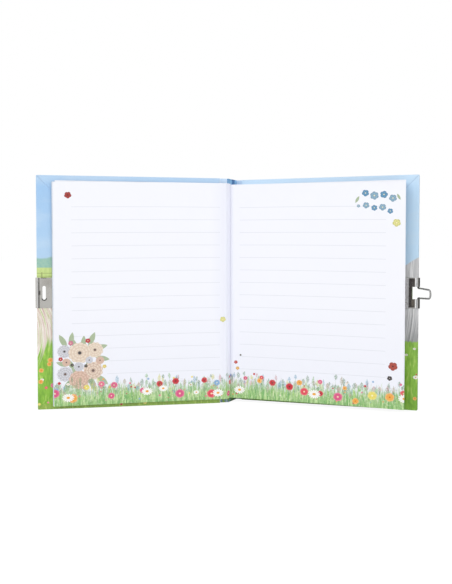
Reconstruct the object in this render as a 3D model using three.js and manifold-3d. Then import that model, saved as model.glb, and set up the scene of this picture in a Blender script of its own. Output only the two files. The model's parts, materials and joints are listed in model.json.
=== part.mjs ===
// A lockable hardcover diary. It stands on its tail edges, open in a V near its front.
// Millimetres, +Z up. +X runs to the back cover's side, and the reader stands on the -Y side.
// Inside the book's own group, +x runs from the spine to the fore-edge of the text block,
// and depth through the text block is counted from the back cover towards the reader, along -y.
import * as THREE from "three";
import { mergeVertices } from "three/addons/utils/BufferGeometryUtils.js";
import Module from "manifold-3d";

const wasm = await Module();
wasm.setup();

// The case: two covers, two grooves and a spine
const coverHeight = 185;
const coverWidth = 148; // from the groove to the fore-edge
const boardThickness = 1.6;
const paperThickness = 0.25; // the printed cover paper, and the pastedown
const glueGap = 0.05; // between glued layers
const grooveWidth = 5.8; // between a cover's hinge line and the spine's
const grooveLining = 0.2; // gauze and endpaper, pressed into the groove
const hingeGap = 0.55; // from a hinge line to the stiff pieces beside it
const foreTurnIn = 16; // cover paper folded over at the fore-edge
const endTurnIn = 12; // and at head and tail
const mitreWidth = 0.3; // open seam where two turn-ins meet
const coverCornerRadius = 0.8;
const spineCardThickness = 0.8;
const spinePaperThickness = 0.2;
const spineTurnInThickness = 0.15;

// The text block
const pageGap = 16; // between the covers of the shut book
const pageSquare = 3.5; // how far the covers stand past the pages at head and tail
const pageInset = 7.7; // from the fore-edge of the covers to that of the upper pages
const leftPageInset = 6.2; // the same for the leaves that lie on the front cover
const foreEdgeSlant = 2.5; // how much further in the lowest pages end
const foldInset = 3.95; // from the cover's hinge line back to the folds of the sections
const layClearance = 0.3; // between pieces that lie on each other and part
const sectionCount = 6;
const flyleafThickness = 0.2;
const leafThickness = 0.3;
const threadRadius = 0.1;
const threadCount = 5;
const threadMargin = 16; // from the head or the tail of the pages to the outer threads
const gauzeThickness = 0.1;
const liningThickness = 0.1;
const gauzeMargin = 14; // from the head or the tail of the pages to the gauze

// The leaves that lie on the front cover
const leftStackThickness = 1.5;
const leftFlyleafGap = 0.1;
const leftFoldLength = 7; // from the sewing to where the leaves bend over the cover's edge

// The leaf that turns
const leafHingeReach = 9; // from the cover's hinge line to where the leaf flexes
const leafStubGap = 0.9;
const leafStartGap = 0.3;

// The clasp: a clip on each cover and a wire bail
const clipHeight = 24;
const clipWidth = 13.5; // how far its plates reach in from the fore-edge
const clipSheet = 0.45;
const clipProud = 0.1; // the plates stand this far above the cover paper
const barrelRadius = 1.45;
const barrelReach = 1.15; // how far the rolled barrel stands past the fore-edge
const crimpDepth = 0.25;
const crimpWidth = 1.1;
const clipClearance = 0.1;
const slotWidth = 2.6;
const slotHeight = 11;
const slotInset = 5.6; // from the fore-edge to the middle of the slot
const windowHeight = 9.7;
const windowInset = 4.8; // how far the bail's window reaches in from the fore-edge
const wireRadius = 0.7;
const bailWidth = 7.8; // between the middles of the two arms, at the barrel
const bailTaper = 0.6; // how much nearer to the middle each arm is at the nose
const bailReach = 24.8; // from the pivot to the nose
const bailFootInset = 0.75; // from the end of a foot to the end of its barrel
const elbowRadius = 1.2;
const noseRadius = 3.4;

// The pose in which the book stands, in degrees
const backCoverAngle = 21.6; // the back cover swings this far towards the reader
const openAngle = 145.7; // between the back cover and the front cover
const leftFoldAngle = 104; // how steeply the leaves rise out of the gutter
const bailAngle = 58.8; // from straight out of the cover towards the reader

// Counts of facets, and one overrun for every cut
const roundSteps = 8;
const cornerSteps = 3;
const wireSides = 10;
const overrun = 1;

// Sizes that follow from those above
const coverThickness = boardThickness + 2 * (paperThickness + glueGap);
const pageEdge = coverWidth - pageInset;
const leftPageEdge = coverWidth - leftPageInset;
const hingeDepth = (paperThickness + glueGap + grooveLining) / 2;
const pageHeight = coverHeight - 2 * pageSquare;
const pageFoot = pageSquare;
const pageHead = pageFoot + pageHeight;
const leftDepth = pageGap - layClearance - leftStackThickness / 2;
const leafDepth = leftDepth - leftStackThickness / 2 - layClearance - leafThickness / 2;
const sectionTop = leafDepth - leafThickness / 2 - layClearance;
const sectionFoot = layClearance + flyleafThickness + glueGap;
const sectionPitch = (sectionTop - sectionFoot + glueGap) / sectionCount;
const foldRadius = leftStackThickness / 2;
const frontHingeDepth = pageGap + coverThickness - hingeDepth;
const backHingeDepth = hingeDepth - coverThickness;
const clipMiddle = coverHeight / 2;
const plateOuter = coverThickness / 2 + clipProud;
const plateInner = plateOuter - clipSheet;
const barrelMiddle = coverWidth + barrelReach - barrelRadius;
const bailFoot = (clipHeight - bailWidth) / 2 - bailFootInset;

const materials = {
  cover: material(0x9cc98a, 0.32, 0),
  sky: material(0xaed3ef, 0.32, 0),
  board: material(0xb5a88f, 0.9, 0),
  paper: material(0xf6f7fb, 0.85, 0),
  lining: material(0xe8dfc9, 0.95, 0),
  gauze: material(0xefe9dc, 0.95, 0),
  thread: material(0xf2efe8, 0.9, 0),
  metal: material(0xb8b6b2, 0.28, 1),
};

function material(color, roughness, metalness) {
  return new THREE.MeshStandardMaterial({ color, roughness, metalness });
}

// A closed geometry as a solid that can be cut, and back again
function toSolid(geometry) {
  const plain = geometry.clone();
  plain.deleteAttribute("normal");
  plain.deleteAttribute("uv");
  const merged = mergeVertices(plain);
  return new wasm.Manifold(
    new wasm.Mesh({
      numProp: 3,
      vertProperties: merged.attributes.position.array,
      triVerts: new Uint32Array(merged.index.array),
    }),
  );
}

function toGeometry(solid) {
  const mesh = solid.getMesh();
  const geometry = new THREE.BufferGeometry();
  geometry.setAttribute("position", new THREE.BufferAttribute(mesh.vertProperties, 3));
  geometry.setIndex(new THREE.BufferAttribute(mesh.triVerts, 1));
  const faceted = geometry.toNonIndexed();
  faceted.computeVertexNormals();
  return faceted;
}

// A flat plate between two x, two y and two z values, with round corners in its face
function plate(x, y, z, radius = 0) {
  const shape = new THREE.Shape();
  if (radius > 0) {
    shape.absarc(x[1] - radius, z[0] + radius, radius, -Math.PI / 2, 0);
    shape.absarc(x[1] - radius, z[1] - radius, radius, 0, Math.PI / 2);
    shape.absarc(x[0] + radius, z[1] - radius, radius, Math.PI / 2, Math.PI);
    shape.absarc(x[0] + radius, z[0] + radius, radius, Math.PI, 1.5 * Math.PI);
  } else {
    shape.moveTo(x[0], z[0]);
    shape.lineTo(x[1], z[0]);
    shape.lineTo(x[1], z[1]);
    shape.lineTo(x[0], z[1]);
  }
  const geometry = new THREE.ExtrudeGeometry(shape, {
    depth: y[1] - y[0],
    bevelEnabled: false,
    curveSegments: cornerSteps,
  });
  geometry.rotateX(Math.PI / 2);
  geometry.translate(0, y[1], 0);
  return toSolid(geometry);
}

// An outline seen from above, raised between two heights
function upright(shape, z) {
  const geometry = new THREE.ExtrudeGeometry(shape, {
    depth: z[1] - z[0],
    bevelEnabled: false,
    curveSegments: roundSteps,
  });
  geometry.translate(0, 0, z[0]);
  return toSolid(geometry);
}

// Adds a solid to a group as a named mesh
function add(group, name, solid, finish) {
  const mesh = new THREE.Mesh(toGeometry(solid), finish);
  mesh.name = name;
  group.add(mesh);
}

// A group that turns about an upright hinge line, positive towards the opened book
function hinge(parent, x, y, degrees) {
  const group = new THREE.Group();
  group.position.set(x, y, 0);
  group.rotation.z = THREE.MathUtils.degToRad(degrees);
  parent.add(group);
  return group;
}

// Depth from a cover's outer face, as y values beside its hinge line
function layer(side, outer, inner) {
  const y = [side * (outer - hingeDepth), side * (inner - hingeDepth)];
  return y.sort((a, b) => a - b);
}

// The block that a cover gives up to its clip, and the core of board left between the plates
function clipRoom(side) {
  const z = [clipMiddle - clipHeight / 2 - clipClearance, clipMiddle + clipHeight / 2 + clipClearance];
  const x = [coverWidth - clipWidth - clipClearance, coverWidth + overrun];
  return plate(x, layer(side, -overrun, coverThickness + overrun), z);
}

function clipCore(side) {
  const half = plateInner - clipClearance;
  const middle = coverThickness / 2;
  const x = [coverWidth - clipWidth - overrun, barrelMiddle - barrelRadius - crimpWidth];
  const z = [clipMiddle - clipHeight, clipMiddle + clipHeight];
  return plate(x, layer(side, middle - half, middle + half), z);
}

// The slot that takes the bail in the front cover
function slotCut(side) {
  const x = [coverWidth - slotInset - slotWidth / 2, coverWidth - slotInset + slotWidth / 2];
  const z = [clipMiddle - slotHeight / 2, clipMiddle + slotHeight / 2];
  return plate(x, layer(side, -overrun, coverThickness + overrun), z, slotWidth / 2);
}

// The window in which the bail turns in the back cover
function windowCut(side) {
  const x = [coverWidth - windowInset, coverWidth + barrelReach + overrun];
  const z = [clipMiddle - windowHeight / 2, clipMiddle + windowHeight / 2];
  return plate(x, layer(side, -overrun, coverThickness + overrun), z);
}

// The open seams of the two mitred corners, cut through the turn-ins only
function mitreSeams(side) {
  const reach = endTurnIn * Math.SQRT2;
  const y = layer(side, coverThickness - paperThickness, coverThickness + overrun);
  const seam = plate([-reach, -coverCornerRadius], y, [-mitreWidth / 2, mitreWidth / 2]);
  const low = seam.rotate([0, 45, 0]).translate([coverWidth, 0, 0]);
  const high = seam.rotate([0, -45, 0]).translate([coverWidth, 0, coverHeight]);
  return low.add(high);
}

// Printed paper over the outer face, round three edges and in over the board
function coverPaper(side) {
  const whole = plate(
    [hingeGap - coverCornerRadius, coverWidth],
    layer(side, 0, coverThickness),
    [0, coverHeight],
    coverCornerRadius,
  );
  const start = plate(
    [hingeGap - coverCornerRadius - overrun, hingeGap],
    layer(side, -overrun, coverThickness + overrun),
    [-overrun, coverHeight + overrun],
  );
  const inside = plate(
    [-overrun, coverWidth - paperThickness],
    layer(side, paperThickness, coverThickness - paperThickness),
    [paperThickness, coverHeight - paperThickness],
  );
  const opening = plate(
    [-overrun, coverWidth - foreTurnIn],
    layer(side, coverThickness / 2, coverThickness + overrun),
    [endTurnIn, coverHeight - endTurnIn],
  );
  return whole.subtract(start).subtract(inside).subtract(opening).subtract(mitreSeams(side)).subtract(clipRoom(side));
}

function coverBoard(side) {
  const edge = paperThickness + glueGap;
  const board = plate(
    [hingeGap, coverWidth - edge],
    layer(side, edge, coverThickness - edge),
    [edge, coverHeight - edge],
  );
  return board.subtract(clipRoom(side).subtract(clipCore(side)));
}

function pastedown(side) {
  return plate(
    [hingeGap, coverWidth - foreTurnIn - layClearance],
    layer(side, coverThickness - paperThickness, coverThickness),
    [endTurnIn + layClearance, coverHeight - endTurnIn - layClearance],
  );
}

// One sheet: a plate on each face, a crimp at the board's edge and a rolled barrel outside it
function clipOutline(side) {
  const shape = new THREE.Shape();
  const middle = side * (coverThickness / 2 - hingeDepth);
  const plateEnd = coverWidth - clipWidth;
  const crimpStart = barrelMiddle - barrelRadius - crimpWidth / 2;
  const neck = plateOuter - crimpDepth;
  const outerBow = Math.PI - Math.asin(neck / barrelRadius);
  const bore = barrelRadius - clipSheet;
  const innerBow = Math.PI - Math.asin((neck - clipSheet) / bore);
  shape.moveTo(plateEnd, middle + plateOuter);
  shape.lineTo(crimpStart, middle + plateOuter);
  shape.lineTo(crimpStart + crimpWidth / 2, middle + neck);
  shape.absarc(barrelMiddle, middle, barrelRadius, outerBow, -outerBow, true);
  shape.lineTo(crimpStart + crimpWidth / 2, middle - neck);
  shape.lineTo(crimpStart, middle - plateOuter);
  shape.lineTo(plateEnd, middle - plateOuter);
  shape.lineTo(plateEnd, middle - plateInner);
  shape.lineTo(crimpStart, middle - plateInner);
  shape.lineTo(crimpStart + crimpWidth / 2, middle - neck + clipSheet);
  shape.absarc(barrelMiddle, middle, bore, -innerBow, innerBow, false);
  shape.lineTo(crimpStart + crimpWidth / 2, middle + neck - clipSheet);
  shape.lineTo(crimpStart, middle + plateInner);
  shape.lineTo(plateEnd, middle + plateInner);
  return shape;
}

function clip(side) {
  return upright(clipOutline(side), [clipMiddle - clipHeight / 2, clipMiddle + clipHeight / 2]);
}

// Points of a path in the bail's own plane: x outwards, z up, with each corner rounded
function roundedCorner(points, corner, from, to, radius) {
  const start = corner.clone().addScaledVector(from, radius);
  const end = corner.clone().addScaledVector(to, radius);
  const centre = start.clone().addScaledVector(to, radius);
  for (let i = 0; i <= roundSteps; i += 1) {
    const angle = ((Math.PI / 2) * i) / roundSteps;
    const point = centre.clone();
    point.addScaledVector(to, -radius * Math.cos(angle));
    point.addScaledVector(from, -radius * Math.sin(angle));
    points.push(i === roundSteps ? end : point);
  }
}

function bailPath() {
  const arm = bailWidth / 2;
  const out = new THREE.Vector2(1, 0);
  const back = new THREE.Vector2(-1, 0);
  const up = new THREE.Vector2(0, 1);
  const down = new THREE.Vector2(0, -1);
  const points = [new THREE.Vector2(0, arm + bailFoot)];
  roundedCorner(points, new THREE.Vector2(0, arm), up, out, elbowRadius);
  roundedCorner(points, new THREE.Vector2(bailReach, arm), back, down, noseRadius);
  roundedCorner(points, new THREE.Vector2(bailReach, -arm), up, back, noseRadius);
  roundedCorner(points, new THREE.Vector2(0, -arm), out, down, elbowRadius);
  points.push(new THREE.Vector2(0, -arm - bailFoot));
  points.forEach((point) => {
    point.y -= (point.y * bailTaper * point.x) / (arm * bailReach);
  });
  return points;
}

// A round wire along that path, closed at both ends
function wireBail() {
  const path = bailPath();
  const positions = [];
  const triangles = [];
  path.forEach((point, i) => {
    const before = path[Math.max(i - 1, 0)];
    const after = path[Math.min(i + 1, path.length - 1)];
    const along = after.clone().sub(before).normalize();
    for (let k = 0; k < wireSides; k += 1) {
      const angle = (2 * Math.PI * k) / wireSides;
      const across = wireRadius * Math.cos(angle);
      positions.push(point.x - along.y * across, wireRadius * Math.sin(angle), point.y + along.x * across);
    }
  });
  for (let i = 0; i + 1 < path.length; i += 1) {
    for (let k = 0; k < wireSides; k += 1) {
      const a = i * wireSides + k;
      const b = i * wireSides + ((k + 1) % wireSides);
      triangles.push(a, b + wireSides, b, a, a + wireSides, b + wireSides);
    }
  }
  const last = (path.length - 1) * wireSides;
  for (let k = 1; k + 1 < wireSides; k += 1) {
    triangles.push(0, k, k + 1, last, last + k + 1, last + k);
  }
  const geometry = new THREE.BufferGeometry();
  geometry.setAttribute("position", new THREE.Float32BufferAttribute(positions, 3));
  geometry.setIndex(triangles);
  geometry.translate(0, 0, clipMiddle);
  return toSolid(geometry);
}

// The fore-edge slants: the deeper a page lies, the further in it ends
function edgeAt(depth) {
  return pageEdge - (foreEdgeSlant * (sectionTop - depth)) / sectionTop;
}

// Folded sheets: a round fold at the spine, and cut along the slant at the fore-edge
function sectionSolid(foot, thickness) {
  const radius = thickness / 2;
  const middle = -(foot + radius);
  const shape = new THREE.Shape();
  shape.moveTo(edgeAt(foot), middle + radius);
  shape.absarc(radius - foldInset, middle, radius, Math.PI / 2, 1.5 * Math.PI, false);
  shape.lineTo(edgeAt(foot + thickness), middle - radius);
  return upright(shape, [pageFoot, pageHead]);
}

function addTextBlock(book) {
  const z = [pageFoot, pageHead];
  const flyleaf = plate([-foldInset, edgeAt(0)], [-layClearance - flyleafThickness, -layClearance], z);
  add(book, "back_flyleaf", flyleaf, materials.paper);
  for (let i = 0; i < sectionCount; i += 1) {
    const foot = sectionFoot + i * sectionPitch;
    const thickness = sectionPitch - glueGap;
    add(book, `section_${sectionCount + 1 - i}`, sectionSolid(foot, thickness), materials.paper);
  }
  const stub = plate(
    [foldRadius - foldInset, leafHingeReach - leafStubGap],
    [-leafDepth - leafThickness / 2, -leafDepth + leafThickness / 2],
    z,
  );
  add(book, "turning_leaf_root", stub, materials.paper);
}

function addSewing(book) {
  const x = -foldInset - glueGap - threadRadius;
  const foot = pageFoot + threadMargin;
  const pitch = (pageHeight - 2 * threadMargin) / (threadCount - 1);
  for (let i = 0; i < threadCount; i += 1) {
    const geometry = new THREE.CylinderGeometry(threadRadius, threadRadius, sectionTop - sectionFoot, roundSteps);
    geometry.translate(x, -(sectionTop + sectionFoot) / 2, foot + i * pitch);
    add(book, `sewing_thread_${i + 1}`, toSolid(geometry), materials.thread);
  }
  const gauzeX = x - threadRadius - glueGap;
  const gauze = plate(
    [gauzeX - gauzeThickness, gauzeX],
    [-sectionTop, -layClearance],
    [pageFoot + gauzeMargin, pageHead - gauzeMargin],
  );
  add(book, "spine_gauze", gauze, materials.gauze);
  const liningX = gauzeX - gauzeThickness - glueGap;
  const lining = plate([liningX - liningThickness, liningX], [-sectionTop, -layClearance], [pageFoot, pageHead]);
  add(book, "spine_lining", lining, materials.lining);
}

// Paper outside the spine card, folded in over it at head and tail
function addSpine(book) {
  const y = [-frontHingeDepth + hingeGap, -backHingeDepth - hingeGap];
  const outer = [-grooveWidth - spinePaperThickness, -grooveWidth];
  const card = [outer[1] + glueGap, outer[1] + glueGap + spineCardThickness];
  const inner = [card[1] + glueGap, card[1] + glueGap + spineTurnInThickness];
  const edge = spinePaperThickness + glueGap;
  const whole = plate([outer[0], inner[1]], y, [0, coverHeight]);
  const over = [y[0] - overrun, y[1] + overrun];
  const pocket = plate([outer[1], inner[0]], over, [spinePaperThickness, coverHeight - spinePaperThickness]);
  const opening = plate([card[0], inner[1] + overrun], over, [endTurnIn, coverHeight - endTurnIn]);
  add(book, "spine_cover_paper", whole.subtract(pocket).subtract(opening), materials.sky);
  add(book, "spine_card", plate(card, y, [edge, coverHeight - edge]), materials.board);
}

// The flexible strip between the spine and a cover: paper outside, gauze and endpaper inside
function addGroove(group, side, name) {
  const x = [clipClearance, grooveWidth - clipClearance];
  const paper = plate(x, layer(side, 0, paperThickness), [0, coverHeight]);
  const liningEdge = paperThickness + glueGap;
  const lining = plate(x, layer(side, liningEdge, liningEdge + grooveLining), [endTurnIn, coverHeight - endTurnIn]);
  add(group, `${name}_groove_paper`, paper, materials.sky);
  add(group, `${name}_groove_lining`, lining, materials.gauze);
}

function addCover(group, side, name, cut) {
  add(group, `${name}_board`, coverBoard(side).subtract(cut), materials.board);
  add(group, `${name}_cover_paper`, coverPaper(side), materials.cover);
  add(group, `${name}_pastedown`, pastedown(side), materials.paper);
  add(group, `${name}_clip`, clip(side).subtract(cut), materials.metal);
}

function addLeftLeaves(book) {
  const z = [pageFoot, pageHead];
  const fold = hinge(book, foldRadius - foldInset, -leftDepth, -leftFoldAngle);
  const shape = new THREE.Shape();
  shape.absarc(0, 0, foldRadius, Math.PI / 2, 1.5 * Math.PI, false);
  shape.absarc(leftFoldLength, 0, foldRadius, -Math.PI / 2, Math.PI / 2, false);
  add(fold, "first_section_fold", upright(shape, z), materials.paper);

  const leaves = hinge(fold, leftFoldLength, 0, leftFoldAngle - openAngle);
  const x = [foldRadius + layClearance, leftPageEdge + foldInset - foldRadius - leftFoldLength];
  const flyleaf = [-foldRadius, flyleafThickness - foldRadius];
  const section = [flyleaf[1] + leftFlyleafGap, foldRadius];
  add(leaves, "front_flyleaf", plate(x, flyleaf, z), materials.paper);
  add(leaves, "first_section", plate(x, section, z), materials.paper);
}

function addTurningLeaf(book) {
  const leaf = hinge(book, leafHingeReach, -leafDepth, 0);
  const y = [-leafThickness / 2, leafThickness / 2];
  const solid = plate([leafStartGap, pageEdge - leafHingeReach], y, [pageFoot, pageHead]);
  add(leaf, "turning_leaf", solid, materials.paper);
}

function addFrontCover(book) {
  const groove = hinge(book, -grooveWidth, -frontHingeDepth, -openAngle);
  addGroove(groove, 1, "front");
  const cover = hinge(groove, grooveWidth, 0, 0);
  addCover(cover, 1, "front", slotCut(1));
}

function addBackCover(book) {
  const groove = hinge(book, -grooveWidth, -backHingeDepth, 0);
  addGroove(groove, -1, "back");
  const cover = hinge(groove, grooveWidth, 0, 0);
  addCover(cover, -1, "back", windowCut(-1));
  const bail = hinge(cover, barrelMiddle, hingeDepth - coverThickness / 2, -bailAngle);
  add(bail, "wire_bail", wireBail(), materials.metal);
}

function makeDiary() {
  const diary = new THREE.Group();
  const book = hinge(diary, 0, 0, -backCoverAngle);
  addSpine(book);
  addSewing(book);
  addTextBlock(book);
  addTurningLeaf(book);
  addLeftLeaves(book);
  addFrontCover(book);
  addBackCover(book);
  return diary;
}

// The origin is on the ground under the middle of the open book
function centred(group) {
  group.updateMatrixWorld(true);
  const middle = new THREE.Box3().setFromObject(group, true).getCenter(new THREE.Vector3());
  group.children.forEach((child) => child.position.sub(new THREE.Vector3(middle.x, middle.y, 0)));
  return group;
}

export default centred(makeDiary());
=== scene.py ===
"""A lockable hardcover diary, standing open in a V on a pale floor."""
import json
import math

import bpy
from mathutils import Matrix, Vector

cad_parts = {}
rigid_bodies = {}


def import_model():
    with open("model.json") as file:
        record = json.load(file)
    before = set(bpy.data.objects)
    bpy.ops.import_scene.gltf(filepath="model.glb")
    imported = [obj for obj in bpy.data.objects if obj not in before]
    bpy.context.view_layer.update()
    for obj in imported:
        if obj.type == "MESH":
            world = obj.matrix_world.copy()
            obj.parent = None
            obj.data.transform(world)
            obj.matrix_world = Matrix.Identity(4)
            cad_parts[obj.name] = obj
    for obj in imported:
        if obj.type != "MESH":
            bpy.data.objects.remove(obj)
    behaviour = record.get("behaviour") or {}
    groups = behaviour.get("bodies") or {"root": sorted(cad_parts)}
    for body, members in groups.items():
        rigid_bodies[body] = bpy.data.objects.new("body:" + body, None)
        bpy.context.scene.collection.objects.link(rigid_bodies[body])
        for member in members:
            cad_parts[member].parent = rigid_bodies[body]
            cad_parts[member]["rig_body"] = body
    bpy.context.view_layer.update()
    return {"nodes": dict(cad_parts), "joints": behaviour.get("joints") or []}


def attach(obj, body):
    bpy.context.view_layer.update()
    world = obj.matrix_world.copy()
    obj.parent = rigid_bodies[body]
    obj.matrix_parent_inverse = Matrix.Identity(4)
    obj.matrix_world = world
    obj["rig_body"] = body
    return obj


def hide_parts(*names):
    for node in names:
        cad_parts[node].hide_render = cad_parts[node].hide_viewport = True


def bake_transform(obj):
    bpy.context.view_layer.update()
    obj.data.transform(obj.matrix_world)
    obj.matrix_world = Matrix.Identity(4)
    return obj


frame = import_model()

MM = 0.001
NODES = frame["nodes"]
GROUPS = {}
MATERIALS = {}

# Places in the row frame, worked out from the part's own joints and angles
JOINTS = {joint["name"]: Vector(joint["pos_m"]) for joint in frame["joints"]}
BACK_ANGLE = math.radians(-21.6)
FRONT_ANGLE = math.radians(-21.6 - 145.7)
GROOVE_WIDTH = 5.8 * MM
COVER_DEPTH = 1.95 * MM  # from the back cover's fold to the face that carries the pages
PAGE_FOOT = 3.5 * MM
PAGE_HEAD = 180.2 * MM
LEFT_HEAD = 180.9 * MM
SHEET = 200 * MM  # one unit of a page's own map
PAGE_THICKNESS = 0.12 * MM


def along(angle):
    return Vector((math.cos(angle), math.sin(angle), 0))


def towards_reader(angle, front):
    """The normal of an open page whose line runs at this angle."""
    line = along(angle)
    return Vector((-line.y, line.x, 0)) if front else Vector((line.y, -line.x, 0))


BACK_FOLD = JOINTS["back_cover_fold"]
FRONT_FOLD = JOINTS["front_opening"] + along(FRONT_ANGLE) * GROOVE_WIDTH
LEAF_FOLD = JOINTS["first_leaves_bend"]
BOOK_ORIGIN = BACK_FOLD + COVER_DEPTH * towards_reader(BACK_ANGLE, False)


def book_point(reach, depth):
    """A point by its reach from the spine and its depth above the back cover, in millimetres."""
    point = BOOK_ORIGIN + along(BACK_ANGLE) * reach * MM + towards_reader(BACK_ANGLE, False) * depth * MM
    return Vector((point.x, point.y, 0))


# Colours, as they look on the printed paper


def tint(red, green, blue):
    """A colour given by its 0 to 255 values."""
    def linear(value):
        share = value / 255
        return share / 12.92 if share <= 0.04045 else ((share + 0.055) / 1.055) ** 2.4
    return (linear(red), linear(green), linear(blue), 1.0)


# Node trees


class Sums:
    """Lays nodes in one tree, so that a pattern reads as a row of sums."""

    def __init__(self, tree):
        self.tree = tree

    def node(self, kind, **settings):
        made = self.tree.nodes.new(kind)
        for name, value in settings.items():
            setattr(made, name, value)
        return made

    def feed(self, socket, value):
        if isinstance(value, bpy.types.NodeSocket):
            self.tree.links.new(value, socket)
        elif value is not None:
            socket.default_value = value

    def math(self, operation, *values, clamp=False):
        made = self.node("ShaderNodeMath", operation=operation)
        for socket, value in zip(made.inputs, values):
            self.feed(socket, value)
        if not clamp:
            return made.outputs[0]
        # A node of its own, because long trees fail when math nodes clamp themselves
        kept = self.node("ShaderNodeClamp")
        self.feed(kept.inputs["Value"], made.outputs[0])
        return kept.outputs[0]

    def add(self, a, b):
        return self.math("ADD", a, b)

    def sub(self, a, b):
        return self.math("SUBTRACT", a, b)

    def mul(self, a, b):
        return self.math("MULTIPLY", a, b)

    def div(self, a, b):
        return self.math("DIVIDE", a, b)

    def above(self, a, b, soft):
        """1 where a is over b, 0 where it is under, with a soft edge."""
        return self.math("DIVIDE", self.sub(a, b), soft, clamp=True)

    def between(self, value, low, high, soft):
        return self.mul(self.above(value, low, soft), self.above(high, value, soft))

    def both(self, *masks):
        total = masks[0]
        for mask in masks[1:]:
            total = self.mul(total, mask)
        return total

    def mix(self, share, a, b):
        made = self.node("ShaderNodeMix", data_type="RGBA")
        self.feed(made.inputs["Factor"], share)
        self.feed(made.inputs[6], a)
        self.feed(made.inputs[7], b)
        return made.outputs[2]

    def ramp(self, share, stops, constant=False):
        made = self.node("ShaderNodeValToRGB")
        made.color_ramp.interpolation = "CONSTANT" if constant else "LINEAR"
        elements = made.color_ramp.elements
        while len(elements) < len(stops):
            elements.new(0.5)
        for element, (place, colour) in zip(elements, stops):
            element.position = place
            element.color = colour
        self.feed(made.inputs["Fac"], share)
        return made.outputs["Color"]

    def split(self, vector):
        made = self.node("ShaderNodeSeparateXYZ")
        self.feed(made.inputs[0], vector)
        return made.outputs[0], made.outputs[1], made.outputs[2]

    def join(self, x, y, z=0.0):
        made = self.node("ShaderNodeCombineXYZ")
        for socket, value in zip(made.inputs, (x, y, z)):
            self.feed(socket, value)
        return made.outputs[0]

    def noise(self, vector, scale, detail=2.0, roughness=0.5):
        made = self.node("ShaderNodeTexNoise", noise_dimensions="3D")
        self.feed(made.inputs["Vector"], vector)
        self.feed(made.inputs["Scale"], scale)
        made.inputs["Detail"].default_value = detail
        made.inputs["Roughness"].default_value = roughness
        return made.outputs["Fac"]

    def random(self, number):
        made = self.node("ShaderNodeTexWhiteNoise", noise_dimensions="1D")
        self.feed(made.inputs["W"], number)
        return made.outputs["Value"]

    def draw(self, group, **values):
        """Draws one of the printed patterns over the colour Under."""
        made = self.node("ShaderNodeGroup", node_tree=GROUPS[group])
        for name, value in values.items():
            self.feed(made.inputs[name], value)
        return made.outputs["Colour"]


def new_group(name, numbers, colours=()):
    """A shader group that draws at Place over the colour Under, and the sums to fill it."""
    tree = bpy.data.node_groups.new(name, "ShaderNodeTree")
    tree.interface.new_socket(name="Place", in_out="INPUT", socket_type="NodeSocketVector")
    for label, value in numbers.items():
        socket = tree.interface.new_socket(name=label, in_out="INPUT", socket_type="NodeSocketFloat")
        socket.default_value = value
    for label in (*colours, "Under"):
        tree.interface.new_socket(name=label, in_out="INPUT", socket_type="NodeSocketColor")
    tree.interface.new_socket(name="Colour", in_out="OUTPUT", socket_type="NodeSocketColor")
    s = Sums(tree)
    return tree, s, s.node("NodeGroupInput").outputs, s.node("NodeGroupOutput").inputs["Colour"]


def flower_shape(s, across, up, radius, petals, depth, turn):
    """The mask of a flower with round petals, how far out a point lies in it, and its petals' wave."""
    reach = s.math("SQRT", s.add(s.mul(across, across), s.mul(up, up)))
    angle = s.mul(s.add(s.math("ARCTAN2", up, across), turn), s.mul(petals, 0.5))
    wave = s.math("POWER", s.math("ABSOLUTE", s.math("COSINE", angle)), 0.5)
    edge = s.mul(radius, s.add(s.sub(1.0, depth), s.mul(depth, wave)))
    return s.above(edge, reach, 0.3), s.div(reach, radius), wave


def make_one_flower():
    """One full flower at a given place on a sheet."""
    numbers = {"Across": 0.0, "Up": 0.0, "Radius": 4.0, "Petals": 5.0, "Depth": 0.2, "Turn": 0.0, "Rings": 2.0}
    tree, s, entry, leaving = new_group("printed_flower", numbers, ("Petal", "Shade", "Heart"))
    x, y, _ = s.split(entry["Place"])
    across = s.sub(x, entry["Across"])
    up = s.mul(s.sub(y, entry["Up"]), 1.08)
    mask, out, wave = flower_shape(
        s, across, up, entry["Radius"], entry["Petals"], entry["Depth"], entry["Turn"])
    ring = s.math("FRACT", s.add(s.mul(out, entry["Rings"]), s.mul(wave, 0.35)))
    petal = s.mix(s.mul(s.sub(1.0, ring), 0.75), entry["Petal"], entry["Shade"])
    petal = s.mix(s.mul(s.sub(1.0, wave), 0.6), petal, entry["Shade"])
    heart = s.above(0.2, out, 0.08)
    s.feed(leaving, s.mix(mask, entry["Under"], s.mix(heart, petal, entry["Heart"])))
    return tree


# Kinds of strewn flower, along a line from 0 to 1
DAISY_FROM, DAISY, DAISY_TO, ORANGE = 0.62, 0.66, 0.7, 0.75


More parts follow.
